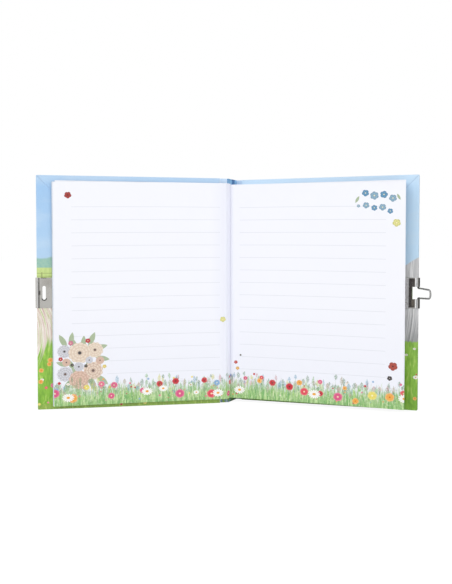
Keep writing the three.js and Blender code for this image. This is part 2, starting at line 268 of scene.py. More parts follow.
def make_flower_row():
    """Flowers strewn along a sheet, at most one in each column, each whole."""
    tree, s, entry, leaving = new_group("strewn_flowers", {
        "Column": 8.0, "Share": 0.6, "Low": 0.0, "High": 20.0, "Small": 1.0, "Large": 3.0, "Seed": 0.0,
        "Kind": 0.0, "Sameness": 0.0})
    x, y, _ = s.split(entry["Place"])
    number = s.math("FLOOR", s.div(s.add(x, entry["Seed"]), entry["Column"]))
    chance = [s.random(s.add(s.mul(number, 1.37), s.add(entry["Seed"], 7.1 * k))) for k in range(5)]
    middle = s.sub(s.mul(s.add(number, s.add(0.39, s.mul(chance[0], 0.22))), entry["Column"]), entry["Seed"])
    height = s.add(entry["Low"], s.mul(s.sub(entry["High"], entry["Low"]), chance[1]))
    radius = s.add(entry["Small"], s.mul(s.sub(entry["Large"], entry["Small"]), chance[2]))
    kind = s.add(chance[3], s.mul(entry["Sameness"], s.sub(entry["Kind"], chance[3])))
    daisy = s.both(s.math("GREATER_THAN", kind, DAISY_FROM), s.math("LESS_THAN", kind, DAISY_TO))
    petals = s.add(s.add(4.0, s.math("FLOOR", s.mul(chance[2], 2.99))), s.mul(daisy, 9.0))
    across = s.sub(x, middle)
    up = s.mul(s.sub(y, height), s.add(1.1, s.mul(daisy, 0.35)))
    depth = s.add(0.14, s.mul(daisy, 0.34))
    mask, out, wave = flower_shape(s, across, up, radius, petals, depth, s.mul(chance[1], 6.0))
    red, rose, pink = tint(206, 44, 56), tint(226, 92, 138), tint(238, 120, 150)
    petal = s.ramp(kind, [
        (0.0, red), (0.24, rose), (0.42, tint(232, 76, 92)), (0.52, pink),
        (DAISY_FROM, tint(253, 253, 250)), (DAISY_TO, tint(246, 176, 76)), (0.86, tint(132, 178, 222)),
        (0.93, tint(240, 226, 110))], constant=True)
    heart = s.ramp(kind, [
        (0.0, tint(92, 30, 40)), (0.24, tint(250, 226, 190)), (0.52, tint(250, 240, 200)),
        (DAISY_FROM, tint(240, 170, 56)), (DAISY_TO, tint(220, 120, 40)), (0.86, tint(250, 244, 200))],
        constant=True)
    petal = s.mix(s.mul(s.above(out, 0.62, 0.38), 0.3), petal, tint(255, 236, 236))
    petal = s.mix(s.mul(s.sub(1.0, wave), 0.35), petal, s.mix(0.5, petal, tint(120, 60, 80)))
    colour = s.mix(s.above(s.add(0.24, s.mul(daisy, 0.08)), out, 0.1), petal, heart)
    mask = s.both(mask, s.math("LESS_THAN", chance[4], entry["Share"]))
    s.feed(leaving, s.mix(mask, entry["Under"], colour))
    return tree


def make_one_leaf():
    """A pointed leaf with a pale rib and faint veins."""
    numbers = {"Across": 0.0, "Up": 0.0, "Length": 8.0, "Width": 3.0, "Turn": 0.0}
    tree, s, entry, leaving = new_group("printed_leaf", numbers, ("Leaf", "Rib"))
    x, y, _ = s.split(entry["Place"])
    x, y = s.sub(x, entry["Across"]), s.sub(y, entry["Up"])
    cosine, sine = s.math("COSINE", entry["Turn"]), s.math("SINE", entry["Turn"])
    out = s.div(s.add(s.mul(x, cosine), s.mul(y, sine)), entry["Length"])
    off = s.math("ABSOLUTE", s.div(s.sub(s.mul(y, cosine), s.mul(x, sine)), entry["Width"]))
    mask = s.above(s.sub(1.0, s.mul(out, out)), off, 0.15)
    vein = s.math("FRACT", s.mul(s.add(out, s.mul(off, -0.4)), 3.0))
    rib = s.math("MAXIMUM", s.above(0.1, off, 0.12), s.mul(s.above(0.2, vein, 0.15), 0.5))
    tone = s.mix(s.mul(s.noise(entry["Place"], 0.4, 3.0), 0.5), entry["Leaf"], entry["Rib"])
    s.feed(leaving, s.mix(mask, entry["Under"], s.mix(s.mul(rib, 0.7), tone, entry["Rib"])))
    return tree


def make_grass():
    """One layer of upright blades, each with its own height and green."""
    numbers = {"Blade": 1.2, "Height": 18.0, "Lean": 0.5, "Seed": 0.0}
    tree, s, entry, leaving = new_group("grass_blades", numbers, ("Dark", "Light"))
    x, y, _ = s.split(entry["Place"])
    sway = s.sub(s.noise(s.join(s.add(x, entry["Seed"]), entry["Seed"]), 0.11, 3.0), 0.5)
    bent = s.mul(s.mul(sway, entry["Lean"]), s.mul(y, s.add(1.0, s.mul(y, 0.04))))
    row = s.div(s.add(s.add(x, bent), entry["Seed"]), entry["Blade"])
    cell = s.math("FLOOR", row)
    place = s.math("ABSOLUTE", s.sub(s.sub(row, cell), 0.5))
    tall = s.random(s.add(cell, entry["Seed"]))
    green = s.random(s.add(s.mul(cell, 3.7), entry["Seed"]))
    height = s.mul(entry["Height"], s.add(0.45, s.mul(tall, 0.55)))
    slim = s.sub(1.0, s.div(y, height))
    mask = s.both(s.above(s.mul(slim, 0.8), place, 0.1), s.add(0.7, s.mul(green, 0.3)))
    s.feed(leaving, s.mix(mask, entry["Under"], s.mix(green, entry["Dark"], entry["Light"])))
    return tree


def make_seed_heads():
    """Tall stalks with a row of tiny blossoms or seeds at their upper ends."""
    tree, s, entry, leaving = new_group("seed_heads", {"Column": 5.0, "Height": 24.0, "Seed": 0.0})
    x, y, _ = s.split(entry["Place"])
    number = s.math("FLOOR", s.div(s.add(x, entry["Seed"]), entry["Column"]))
    chance = [s.random(s.add(s.mul(number, 2.11), s.add(entry["Seed"], 5.3 * k))) for k in range(5)]
    lean = s.mul(s.sub(chance[0], 0.5), s.mul(y, 0.16))
    middle = s.sub(s.mul(s.add(number, s.add(0.3, s.mul(chance[1], 0.4))), entry["Column"]), entry["Seed"])
    across = s.math("ABSOLUTE", s.sub(s.sub(x, lean), middle))
    height = s.mul(entry["Height"], s.add(0.6, s.mul(chance[2], 0.4)))
    stalk = s.both(s.above(0.18, across, 0.12), s.above(height, y, 0.5))
    colour = s.mix(s.mul(stalk, 0.6), entry["Under"], tint(150, 178, 140))
    along_head = s.math("DIVIDE", s.sub(height, y), s.add(3.5, s.mul(chance[4], 5.0)), clamp=True)
    half = s.mul(s.math("SINE", s.mul(along_head, math.pi)), s.add(0.7, s.mul(chance[1], 0.6)))
    beads = s.noise(s.join(s.mul(x, 1.5), s.mul(y, 1.5)), 1.0, 2.0)
    head = s.both(s.above(s.mul(half, 1.5), across, 0.5), s.above(beads, 0.4, 0.12))
    tone = s.ramp(chance[3], [
        (0.0, tint(206, 156, 162)), (0.1, tint(130, 176, 204)), (0.2, tint(222, 216, 116)),
        (0.32, tint(112, 148, 118)), (0.66, tint(176, 164, 138)), (0.8, tint(148, 190, 136))], constant=True)
    s.feed(leaving, s.mix(s.mul(head, 0.75), colour, tone))
    return tree


def flower_rows(s, place, colour, rows, offset=0.0, kind=None):
    """Rows of strewn flowers, of every kind or all of one kind."""
    for column, share, low, high, small, large, seed in rows:
        colour = s.draw(
            "row", Place=place, Column=column, Share=share, Low=low, High=high, Small=small, Large=large,
            Seed=seed + offset, Kind=kind or 0.0, Sameness=0.0 if kind is None else 1.0, Under=colour)
    return colour


def stalk_rows(s, place, colour, rows):
    for column, height, seed in rows:
        colour = s.draw("stalks", Place=place, Column=column, Height=height, Seed=seed, Under=colour)
    return colour


def grass_layers(s, place, colour, layers):
    for blade, height, lean, seed, dark, light in layers:
        colour = s.draw(
            "grass", Place=place, Blade=blade, Height=height, Lean=lean, Seed=seed, Dark=tint(*dark),
            Light=tint(*light), Under=colour)
    return colour


# The page border's layers, from the back to the front. Sizes and heights are in millimetres.
FAR_STALKS = ((3.7, 23.0, 13.0), (5.3, 25.0, 57.0), (8.1, 21.0, 91.0))
FAR_GRASS = (
    (1.7, 22.0, 1.1, 3.0, (150, 190, 146), (206, 224, 190)),
    (1.2, 20.5, 0.8, 31.0, (112, 172, 106), (194, 220, 166)),
)
MIDDLE_STALKS = ((4.9, 17.0, 151.0),)
MIDDLE_FLOWERS = ((7.1, 0.42, 15.5, 21.0, 1.0, 2.2, 11.0), (12.0, 0.6, 11.5, 17.0, 2.0, 3.2, 41.0))
NEAR_GRASS = (
    (1.1, 17.5, 1.0, 77.0, (90, 166, 80), (180, 218, 130)),
    (1.5, 13.5, 0.8, 119.0, (118, 184, 108), (222, 236, 188)),
    (1.0, 9.0, 0.9, 163.0, (98, 168, 84), (194, 226, 156)),
)
NEAR_FLOWERS = ((3.4, 0.4, 2.0, 14.0, 0.5, 1.0, 23.0), (14.0, 0.75, 4.0, 12.0, 2.5, 4.4, 97.0))
BIG_DAISIES = ((62.0, 0.95, 5.0, 9.0, 4.8, 5.4, 203.0),)
WASH_HEIGHT = 17.0


def meadow(s, place, under):
    """A border of grass in layers, with tall stalks behind it and flowers among it."""
    x, y, _ = s.split(place)
    ragged = s.mul(s.add(s.noise(s.join(x, 0.0), 0.3, 3.0), 0.35), WASH_HEIGHT)
    wash = s.mul(s.sub(1.0, s.math("DIVIDE", y, ragged, clamp=True)), 0.9)
    colour = stalk_rows(s, place, under, FAR_STALKS)
    colour = s.mix(wash, colour, tint(150, 200, 126))
    colour = grass_layers(s, place, colour, FAR_GRASS)
    colour = stalk_rows(s, place, colour, MIDDLE_STALKS)
    colour = flower_rows(s, place, colour, MIDDLE_FLOWERS)
    colour = grass_layers(s, place, colour, NEAR_GRASS)
    speckle = s.noise(s.join(s.mul(x, 1.1), s.mul(y, 0.7), 4.0), 0.85, 3.0, 0.65)
    grown = s.above(s.mul(ragged, 1.25), y, 3.0)
    colour = s.mix(s.both(s.above(speckle, 0.57, 0.06), grown, 0.4), colour, tint(244, 240, 222))
    colour = s.mix(s.both(s.above(0.43, speckle, 0.06), grown, 0.35), colour, tint(112, 118, 88))
    colour = flower_rows(s, place, colour, NEAR_FLOWERS)
    return flower_rows(s, place, colour, BIG_DAISIES, kind=DAISY)


def finish_material(name, roughness, metallic=0.0, coat=0.0):
    """A plain material, whose tree can then be fed with patterns."""
    made = bpy.data.materials.new(name)
    made.use_nodes = True
    shader = made.node_tree.nodes["Principled BSDF"]
    shader.inputs["Roughness"].default_value = roughness
    shader.inputs["Metallic"].default_value = metallic
    shader.inputs["Coat Weight"].default_value = coat
    shader.inputs["Coat Roughness"].default_value = 0.1
    return made, Sums(made.node_tree), shader


def raise_bump(s, shader, height, strength, distance):
    bump = s.node("ShaderNodeBump")
    bump.inputs["Strength"].default_value = strength
    bump.inputs["Distance"].default_value = distance
    s.feed(bump.inputs["Height"], height)
    s.feed(shader.inputs["Normal"], bump.outputs["Normal"])


def sheet_place(s):
    """Millimetres over a page: across from the gutter, and up from its foot."""
    uv = s.node("ShaderNodeUVMap", uv_map="sheet")
    x, y, _ = s.split(uv.outputs["UV"])
    return s.join(s.mul(x, SHEET / MM), s.mul(y, SHEET / MM))


# The second colour is painted shade on the paper, near the gutter and towards the foot
PAPER_WHITE, PAPER_PAINTED_SHADE = tint(246, 247, 253), tint(236, 238, 250)
RULE_STEP = 10.25
LOWEST_RULE = 24.5
RULES_FROM, RULES_TO = 22.0, 160.0
SHORT_RULES_UNDER = 50.0
RULE_TONE = tint(214, 216, 224)


def ruled_lines(s, place, under, near, far, late_far):
    """Pale rules across the page. The lowest ones stop short, to leave room for the picture."""
    x, y, _ = s.split(place)
    step = s.div(s.sub(y, LOWEST_RULE), RULE_STEP)
    gap = s.mul(s.math("ABSOLUTE", s.sub(step, s.math("ROUND", step))), RULE_STEP)
    line = s.above(0.2, gap, 0.1)
    end = s.add(far, s.mul(s.math("LESS_THAN", y, SHORT_RULES_UNDER), late_far - far))
    inside = s.mul(s.between(x, near, end, 0.2), s.between(y, RULES_FROM, RULES_TO, 0.1))
    return s.mix(s.both(line, inside, 0.75), under, RULE_TONE)


def page_material(name, seed, near, far, late_far, painted_gutter_shade, leaves, flowers):
    """A ruled page with its printed flowers and the border of grass at its foot."""
    made, s, shader = finish_material(name, roughness=0.62)
    place = sheet_place(s)
    x, y, _ = s.split(place)
    # Painted shade: the paper darkens near the gutter by the given share, and a little towards the foot
    painted_shade_by_gutter = s.mul(s.above(22.0, x, 16.0), painted_gutter_shade)
    near_foot = s.mul(s.above(90.0, y, 70.0), 0.4)
    paper = s.mix(s.math("MAXIMUM", painted_shade_by_gutter, near_foot), PAPER_WHITE, PAPER_PAINTED_SHADE)
    colour = ruled_lines(s, place, paper, near, far, late_far)
    for across, up, length, turn in leaves:
        colour = s.draw(
            "leaf", Place=place, Across=across, Up=up, Length=length, Width=length * 0.36,
            Turn=math.radians(turn), Leaf=tint(158, 178, 140), Rib=tint(198, 208, 184), Under=colour)
    for across, up, radius, petals, depth, turn, rings, petal, shade, heart in flowers:
        colour = s.draw(
            "flower", Place=place, Across=across, Up=up, Radius=radius, Petals=petals, Depth=depth, Turn=turn,
            Rings=rings, Petal=tint(*petal), Shade=tint(*shade), Heart=tint(*heart), Under=colour)
    shifted = s.join(s.add(x, seed), y)
    s.feed(shader.inputs["Base Color"], meadow(s, shifted, colour))
    return made


# The printed flowers. Places are in millimetres from the gutter and up from the foot.


def blossom(across, up, radius, petal, heart=(250, 240, 190), petals=5.0, turn=0.4):
    shade = tuple(int(value * 0.8) for value in petal)
    return across, up, radius, petals, 0.24, turn, 1.0, petal, shade, heart


def rosette(across, up, radius, petal, shade, heart, turn):
    return across, up, radius, 12.0, 0.12, turn, 4.0, petal, shade, heart


CREAM, SAND = (244, 232, 216), (212, 186, 162)
BLUSH, CLAY = (234, 208, 192), (192, 152, 130)
ASH, SLATE = (234, 234, 240), (166, 166, 174)
BROWN, UMBER = (112, 90, 82), (74, 68, 68)
POPPY, ROSE, SUN = (206, 62, 74), (226, 130, 160), (238, 216, 120)

LEFT_LEAVES = (
    (140.5, 51.5, 6.5, 60.0), (134.0, 53.0, 6.0, 100.0), (118.0, 52.5, 6.5, 115.0), (111.0, 46.0, 6.0, 165.0),
    (109.5, 37.0, 6.0, 10.0), (131.5, 48.0, 6.0, 75.0), (124.5, 50.0, 6.0, 95.0), (110.0, 20.0, 6.5, 40.0),
    (141.5, 33.5, 5.0, 20.0), (134.5, 33.0, 5.5, 60.0), (120.5, 34.0, 5.5, 110.0), (117.5, 17.0, 7.0, 70.0),
    (128.5, 13.0, 7.5, 85.0), (137.5, 15.0, 7.0, 110.0), (132.5, 26.0, 6.0, 90.0),
)
LEFT_PRINTS = (
    rosette(139.5, 43.5, 5.8, ASH, SLATE, UMBER, 0.1), rosette(115.5, 44.0, 6.8, CREAM, SAND, BROWN, 0.7),
    rosette(117.0, 27.5, 8.0, CREAM, CLAY, BROWN, 0.2), rosette(139.0, 25.5, 6.6, ASH, SLATE, BROWN, 0.5),
    rosette(128.0, 20.5, 8.4, BLUSH, CLAY, SAND, 0.9), rosette(127.5, 42.0, 9.2, CREAM, SAND, UMBER, 0.4),
    rosette(128.3, 31.0, 4.2, ASH, SLATE, UMBER, 0.3), rosette(138.0, 34.8, 3.6, BLUSH, CLAY, UMBER, 0.8),
    rosette(111.5, 35.5, 3.6, BLUSH, CLAY, BROWN, 0.1), rosette(120.0, 36.0, 3.2, ASH, SLATE, UMBER, 0.6),
    blossom(134.5, 50.0, 2.2, ROSE), blossom(121.0, 51.5, 2.2, POPPY), blossom(142.5, 37.5, 2.0, POPPY),
    blossom(108.0, 30.5, 1.8, SUN), blossom(133.5, 32.5, 1.6, UMBER), blossom(122.7, 31.5, 1.6, UMBER),
    blossom(110.5, 14.0, 2.0, ROSE), blossom(136.0, 167.0, 3.0, (176, 66, 60), (84, 40, 44)),
    blossom(11.0, 66.0, 2.6, (236, 232, 150)),
)
SKY_BLUE, MIST_BLUE = (104, 158, 196), (146, 182, 206)
RIGHT_LEAVES = ((106.5, 163.0, 3.2, 60.0), (139.0, 165.0, 2.8, 120.0))
RIGHT_PRINTS = (
    blossom(113.0, 168.0, 3.0, SKY_BLUE), blossom(120.0, 166.0, 3.6, MIST_BLUE, petals=6.0),
    blossom(127.5, 166.8, 3.2, SKY_BLUE, turn=1.2), blossom(134.5, 164.0, 3.2, MIST_BLUE),
    blossom(113.5, 158.5, 2.8, MIST_BLUE), blossom(120.0, 156.5, 2.6, SKY_BLUE, petals=6.0),
    blossom(126.5, 157.0, 3.0, MIST_BLUE), blossom(132.5, 154.0, 2.4, SKY_BLUE),
    blossom(107.5, 158.0, 1.5, MIST_BLUE), blossom(137.5, 145.0, 3.4, (236, 232, 150)),
    blossom(135.5, 33.5, 3.8, (184, 82, 68), (70, 34, 40)), blossom(133.0, 24.0, 2.2, UMBER, (200, 196, 196)),
    blossom(5.0, 30.0, 1.7, POPPY), blossom(6.5, 25.0, 1.7, (240, 180, 90)), blossom(9.0, 36.0, 1.0, UMBER),
)


def turned_place(s, angle, hinge=Vector()):
    """Millimetres from a hinge, along a cover that is turned by this angle."""
    turned = s.node("ShaderNodeMapping", vector_type="TEXTURE")
    turned.inputs["Location"].default_value = (hinge.x, hinge.y, 0)
    turned.inputs["Rotation"].default_value = (0, 0, angle)
    turned.inputs["Scale"].default_value = (MM, MM, MM)
    s.feed(turned.inputs["Vector"], s.node("ShaderNodeTexCoord").outputs["Object"])
    return s.split(turned.outputs["Vector"])


COVER_WIDTH = 148.0
FIELD_TOP = 112.8  # where the printed meadow ends, up from the tail
SKY_FOOT, SKY_HEIGHT = 110.0, 75.0
RAIL_FOOT, RAIL_TOP, RAIL_STEP = 104.4, 109.2, 2.4
POST_FOOT, POST_TOP, POST_STEP, POST_PLACE = 102.0, 108.8, 21.0, 18.1
SOIL_TOP = 4.4
FIELD_TONES = [
    (0.0, tint(134, 188, 56)), (0.4, tint(150, 202, 74)), (0.75, tint(176, 214, 108)),
    (1.0, tint(206, 224, 146))]
BLADE_GREEN = tint(106, 160, 48)
FRONT_SKY = [
    (0.0, tint(184, 214, 240)), (0.5, tint(172, 208, 242)), (0.88, tint(164, 203, 241)),
    (0.96, tint(184, 214, 242))]
BACK_SKY = [
    (0.0, tint(203, 233, 255)), (0.5, tint(201, 232, 255)), (0.88, tint(199, 230, 255)),
    (0.96, tint(206, 233, 255))]
FRONT_STRANDS = [
    (0.32, tint(186, 152, 140)), (0.39, tint(246, 232, 226)), (0.45, tint(206, 178, 166)),
    (0.51, tint(250, 244, 236)), (0.56, tint(196, 194, 150)), (0.61, tint(240, 240, 220)),
    (0.68, tint(170, 196, 110))]
BACK_STRANDS = [
    (0.32, tint(140, 140, 142)), (0.42, tint(220, 220, 220)), (0.5, tint(194, 194, 194)),
    (0.6, tint(246, 246, 244))]
# Plumes: the level about which they bow, how much they bow, their foot, and the height, slope and softness
# of their crest
FRONT_PLUME = (58.0, -0.0105, 60.0, 96.0, 0.6, 2.0)
BACK_PLUME = (100.0, 0.002, 52.0, 121.0, 0.5, 1.2)
PLUME_REACH = 96.0  # how near to the hinge they grow
FRONT_TREES, BACK_TREES = 118.0, 100.0
FRONT_FLOWERS = (
    (5.2, 0.5, 6.0, 46.0, 0.8, 1.5, 29.0), (9.0, 0.8, 14.0, 34.0, 1.6, 2.4, 71.0),
    (6.4, 0.5, 2.0, 9.0, 1.0, 2.0, 83.0))
FRONT_ORANGES = ((7.4, 0.9, 30.0, 44.0, 1.9, 2.6, 61.0), (6.6, 0.7, 20.0, 40.0, 1.7, 2.3, 5.0))
BACK_FLOWERS = ((5.2, 0.6, 6.0, 50.0, 0.8, 1.5, 29.0), (6.1, 0.5, 4.0, 30.0, 1.2, 2.0, 61.0))
BACK_DAISIES = ((5.6, 0.75, 30.0, 52.0, 1.3, 2.0, 17.0), (11.0, 0.8, 24.0, 36.0, 2.4, 3.2, 37.0))


def printed_sky(s, x, y, seed, tones, tree_line):
    """A sky with thin clouds, over a row of far trees."""
    cloud = s.noise(s.join(s.mul(x, 0.6), s.mul(y, 1.6), seed), 0.03, 4.0)
    sky = s.ramp(s.div(s.sub(y, SKY_FOOT), SKY_HEIGHT), tones)
    sky = s.mix(s.mul(s.above(cloud, 0.54, 0.2), 0.35), sky, tint(222, 236, 248))
    crowns = s.add(tree_line, s.mul(s.noise(s.join(x, seed), 0.045, 4.0), 7.0))
    leaf_tone = s.noise(s.join(x, y, seed), 0.5, 3.0)
    trees = s.mix(leaf_tone, tint(128, 184, 176), tint(176, 208, 184))
    return s.mix(s.above(crowns, y, 1.5), sky, trees)


def printed_field(s, x, y, seed, under):
    """A meadow of fine blades, which grow paler with the distance."""
    blades = s.noise(s.join(s.mul(x, 1.2), s.mul(y, 0.22), seed), 0.6, 5.0)
    near = s.add(0.25, s.mul(s.above(96.0, y, 30.0), 0.75))
    field = s.ramp(s.div(y, FIELD_TOP), FIELD_TONES)
    field = s.mix(s.both(s.above(blades, 0.48, 0.14), near, 0.55), field, BLADE_GREEN)
    field = s.mix(s.both(s.above(0.42, blades, 0.1), near, 0.6), field, tint(204, 228, 122))
    return s.mix(s.above(FIELD_TOP, y, 0.8), under, field)


def printed_fence(s, x, y, under):
    """Thin rails with posts, at the far side of the meadow."""
    rail = s.math("ABSOLUTE", s.sub(s.math("FRACT", s.div(s.sub(y, RAIL_FOOT), RAIL_STEP)), 0.5))
    rails = s.mul(s.above(0.13, rail, 0.08), s.between(y, RAIL_FOOT, RAIL_TOP, 0.2))
    post = s.math("ABSOLUTE", s.sub(s.mul(s.math("FRACT", s.div(x, POST_STEP)), POST_STEP), POST_PLACE))
    posts = s.mul(s.above(0.55, post, 0.2), s.between(y, POST_FOOT, POST_TOP, 0.2))
    return s.mix(s.mul(s.math("MAXIMUM", rails, posts), 0.6), under, tint(112, 116, 72))


def plume(s, x, y, seed, under, front):
    """A clump of plumes that grows in from the fore-edge, pale on the front cover and grey on the back."""
    level, bend, foot, crest, slope, soft = FRONT_PLUME if front else BACK_PLUME
    inward = s.sub(COVER_WIDTH, x)
    tousled = s.sub(s.noise(s.join(x, s.mul(y, 0.2), seed), 0.25, 4.0), 0.5)
    tousled = s.mul(s.mul(tousled, s.above(inward, 12.0, 30.0)), 44.0)
    bow = s.mul(s.mul(inward, inward), 0.012)
    off = s.sub(y, level)
    curve = s.add(x, s.mul(s.mul(off, off), bend))
    strand = s.noise(s.join(s.mul(curve, 1.3), s.mul(y, 0.03), seed), 0.5, 3.0, 0.6)
    if front:
        tone = s.ramp(strand, FRONT_STRANDS)
        reach = s.sub(s.mul(s.noise(s.join(curve, seed), 0.35, 3.0), 50.0), s.mul(inward, 2.0))
        lower = s.above(y, s.sub(foot, reach), 5.0)
    else:
        shaded = s.sub(1.0, s.math("DIVIDE", s.sub(y, 50.0), 26.0, clamp=True))
        tone = s.mix(s.mul(shaded, 0.6), s.ramp(strand, BACK_STRANDS), tint(104, 106, 108))
        lower = s.above(y, s.add(foot, s.mul(strand, 3.0)), 1.5)
    upper = s.above(s.add(s.sub(s.sub(crest, s.mul(inward, slope)), bow), tousled), y, soft)
    clump = s.both(lower, upper, s.above(s.add(x, tousled), PLUME_REACH, 12.0))
    return s.mix(clump, under, tone)


def cover_material(name, hinge, angle, front, seed):
    """The printed case: sky, far trees, a meadow with flowers, and a clump of plumes."""
    made, s, shader = finish_material(name, roughness=0.4, coat=0.2)
    x, _, y = turned_place(s, angle, hinge)
    place = s.join(x, y)
    if front:
        colour = printed_field(s, x, y, seed, printed_sky(s, x, y, seed, FRONT_SKY, FRONT_TREES))
        colour = plume(s, x, y, seed, printed_fence(s, x, y, colour), front)
        colour = s.mix(s.mul(s.above(SOIL_TOP, y, 1.0), 0.16), colour, tint(206, 150, 138))
        colour = flower_rows(s, place, colour, FRONT_FLOWERS, seed)
        colour = flower_rows(s, place, colour, FRONT_ORANGES, seed, kind=ORANGE)
    else:
        colour = printed_field(s, x, y, seed, printed_sky(s, x, y, seed, BACK_SKY, BACK_TREES))
        colour = plume(s, x, y, seed, colour, front)
        colour = flower_rows(s, place, colour, BACK_FLOWERS, seed)
        colour = flower_rows(s, place, colour, BACK_DAISIES, seed, kind=DAISY)
    s.feed(shader.inputs["Base Color"], colour)
    return made


FOOT_TONES = [
    (0.3, tint(60, 92, 40)), (0.4, tint(150, 190, 66)), (0.48, tint(112, 160, 66)), (0.55, tint(132, 152, 196)),
    (0.62, tint(120, 170, 120)), (0.7, tint(176, 84, 70))]
FOOT_TOP = 8.0
SPINE_FROM, SPINE_SPAN = -3.0, 12.0


def spine_material(name, light, blot_and_shade_tone, low=None):
    """The print around the spine: sky, meadow, and flowers at the foot, or one given colour below, with painted
    shade across the spine's sky.
    """
    made, s, shader = finish_material(name, roughness=0.4, coat=0.2)
    x, y, z = s.split(s.node("ShaderNodeTexCoord").outputs["Object"])
    height = s.div(z, MM)
    blot = s.noise(s.join(s.mul(x, 700.0), s.mul(y, 700.0), s.mul(z, 260.0)), 0.45, 3.0, 0.6)
    around = s.div(s.sub(s.div(x, MM), SPINE_FROM), SPINE_SPAN)
    # Painted shade: across the spine the sky runs light, deep, light, deepest in the hollow at its middle; the
    # blots of the deep tone are print
    sky = s.ramp(around, [(0.42, light), (0.48, blot_and_shade_tone), (0.6, blot_and_shade_tone), (0.68, light)])
    sky = s.mix(s.mul(s.above(blot, 0.5, 0.16), 0.4), sky, blot_and_shade_tone)
    if not low:
        field = s.mix(s.mul(blot, 0.6), s.ramp(s.div(height, FIELD_TOP), FIELD_TONES), BLADE_GREEN)
        low = s.mix(s.above(height, FOOT_TOP, 3.0), s.ramp(blot, FOOT_TONES), field)
    s.feed(shader.inputs["Base Color"], s.mix(s.above(height, FIELD_TOP, 0.8), low, sky))
    return made


FINE_RELIEF = 0.2 * MM


def edge_material(name, angle):
    """Cut page edges: fine lines between the leaves."""
    made, s, shader = finish_material(name, roughness=0.8)
    x, y, z = turned_place(s, angle)
    lines = s.noise(s.join(s.mul(x, 0.01), s.mul(y, 3.2), s.mul(z, 0.01)), 1.0, 3.0, 0.7)
    colour = s.ramp(lines, [
        (0.34, tint(206, 210, 220)), (0.5, tint(240, 242, 248)), (0.62, tint(250, 251, 254))])
    s.feed(shader.inputs["Base Color"], colour)
    raise_bump(s, shader, lines, 0.3, FINE_RELIEF)
    return made


def plain_material(name, colour, roughness, grain=0.0):
    """Paper, cloth or thread of one colour, with fibres and faint clouds."""
    made, s, shader = finish_material(name, roughness=roughness)
    where = s.node("ShaderNodeTexCoord").outputs["Object"]
    fibre = s.noise(where, 900.0, 3.0)
    darker = tuple(0.86 * value for value in colour[:3]) + (1.0,)
    cloudy = s.mul(s.add(fibre, s.noise(where, 60.0, 3.0)), 0.5)
    s.feed(shader.inputs["Base Color"], s.mix(s.above(cloudy, 0.4, 0.25), darker, colour))
    if grain:
        raise_bump(s, shader, fibre, grain, FINE_RELIEF)
    return made


def metal_material(name, dark, light, hinge, angle, painted_reflections, slot_foot=None):
    """Plated sheet or wire with faint rolling marks, and painted reflections and shade: zones painted with the
    darker or lighter ground the metal would mirror, and painted shade under the slot.
    """
    made, s, shader = finish_material(name, roughness=0.28, metallic=1.0)
    where = s.node("ShaderNodeTexCoord").outputs["Object"]
    x, y, z = s.split(where)
    marks = s.noise(s.join(s.mul(x, 500.0), s.mul(y, 500.0), s.mul(z, 90.0)), 1.0, 3.0)
    cloudy = s.noise(where, 160.0, 2.0)
    colour = s.mix(s.add(s.mul(marks, 0.5), s.mul(cloudy, 0.5)), dark, light)
    out, _, up = turned_place(s, angle, hinge)
    # Each zone is a painted reflection, highlight or shade on the metal
    for (left, right, low, high), tone, edge, share in painted_reflections:
        reflection_zone = s.mul(s.between(out, left, right, edge), s.between(up, low, high, edge))
        colour = s.mix(s.mul(reflection_zone, share), colour, s.mix(s.mul(cloudy, 0.15), tone, light))
    # Painted shade: a dark disc at the foot of the slot, where its lower edge falls in shade
    if slot_foot:
        across, above_foot = s.sub(out, slot_foot[0]), s.sub(up, slot_foot[1])
        reach = s.math("SQRT", s.add(s.mul(across, across), s.mul(above_foot, above_foot)))
        painted_slot_shade = s.mul(s.above(SLOT_RADIUS, reach, 0.5), s.above(0.3, above_foot, 0.6))
        colour = s.mix(painted_slot_shade, colour, tint(44, 42, 40))
    s.feed(shader.inputs["Base Color"], colour)
    s.feed(shader.inputs["Roughness"], s.add(0.2, s.mul(marks, 0.16)))
    return made


def dress(piece, material):
    """Gives a CAD node or a new piece one material, by its name."""
    piece.data.materials.clear()
    piece.data.materials.append(MATERIALS[material])


# Pages, made by drawing a sheet out along its line


def deselect_everything():
    if bpy.context.mode != "OBJECT":
        bpy.ops.object.mode_set(mode="OBJECT")
    bpy.ops.object.select_all(action="DESELECT")


def drawn_sheet(name, points, low, high, rows):
    """A standing sheet whose foot follows the points."""
    deselect_everything()
    bpy.ops.mesh.primitive_plane_add(size=1.0)
    sheet = bpy.context.object
    sheet.name = name
    sheet.data.name = name
    bpy.ops.object.mode_set(mode="EDIT")
    bpy.ops.mesh.select_mode(type="VERT")
    bpy.ops.mesh.delete(type="ONLY_FACE")
    bpy.ops.object.mode_set(mode="OBJECT")
    corners = sheet.data.vertices
    corners[0].co = (points[0].x, points[0].y, low)
    corners[2].co = (points[0].x, points[0].y, high)
    bpy.ops.object.mode_set(mode="EDIT")
    bpy.ops.mesh.select_all(action="DESELECT")
    bpy.ops.object.mode_set(mode="OBJECT")
    corners[1].select = corners[3].select = True
    bpy.ops.object.mode_set(mode="EDIT")
    bpy.ops.mesh.delete(type="VERT")
    bpy.ops.mesh.select_all(action="SELECT")
    bpy.ops.mesh.subdivide(number_cuts=rows - 1)
    for before, after in zip(points, points[1:]):
        step = after - before
        bpy.ops.mesh.extrude_region_move(TRANSFORM_OT_translate={"value": (step.x, step.y, 0)})
    bpy.ops.object.mode_set(mode="OBJECT")
    return sheet


